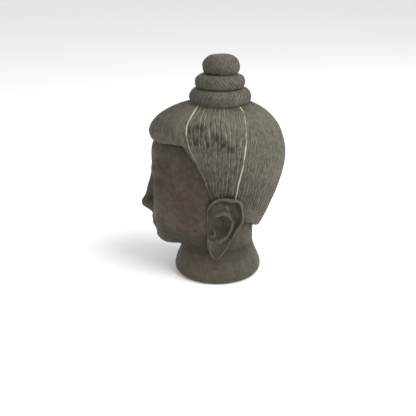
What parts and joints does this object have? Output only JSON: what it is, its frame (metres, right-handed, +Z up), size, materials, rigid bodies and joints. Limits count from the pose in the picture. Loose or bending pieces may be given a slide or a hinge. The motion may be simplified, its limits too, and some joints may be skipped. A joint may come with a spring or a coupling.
{
  "type": "stone buddha head",
  "caption": "Carved dark stone Buddha head: a calm face, long ears, combed hair and a topknot of three coiled ropes, on a short neck that flares into a round foot.",
  "frame": {"origin": "Centre of the flat round underside of the foot", "axes": "+Z up through the topknot, -Y the way the face looks, +X the head's own left side"},
  "size_m": [0.142, 0.1839, 0.28],
  "materials": {
    "carved_stone": "Dark grey-brown stone, smoothed to a low satin sheen, with paler dust in the cut strands and small rust stains over one ear."
  },
  "bodies": {
    "root": {"buddha_head": "carved_stone"}
  },
  "joints": []
}
